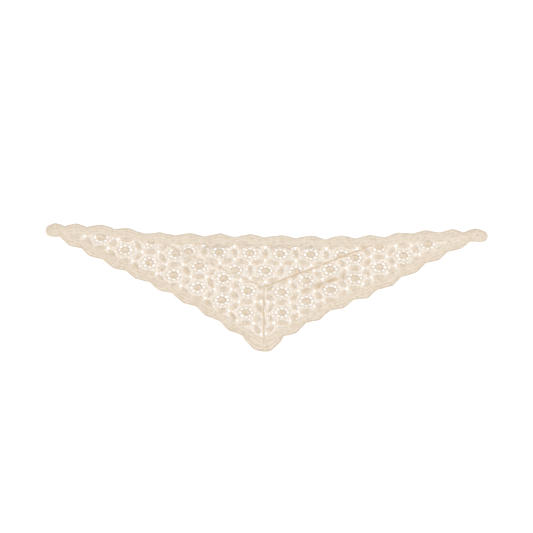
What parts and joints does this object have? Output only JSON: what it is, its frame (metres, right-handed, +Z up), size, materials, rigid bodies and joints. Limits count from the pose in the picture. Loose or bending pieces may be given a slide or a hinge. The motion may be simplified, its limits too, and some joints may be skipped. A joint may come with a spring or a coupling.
{
  "type": "crochet lace triangle scarf",
  "caption": "Shallow triangular scarf of open crochet lace with scalloped edging, laid out flat.",
  "frame": {"origin": "middle of the outline, on the surface that the scarf lies on", "axes": "+X from the left tip to the right tip, +Y from the bottom point towards the long top edge, +Z up from the surface"},
  "size_m": [1.102, 0.3206, 0.0027],
  "materials": {
    "lace": "soft matt cotton lace yarn, cream",
    "edging": "soft matt cotton yarn in dense stitches, cream"
  },
  "bodies": {
    "root": {"yoke": "lace", "wing_left": "lace", "wing_right": "lace", "edging_top": "edging", "edging_left": "edging", "edging_right": "edging"}
  },
  "joints": []
}
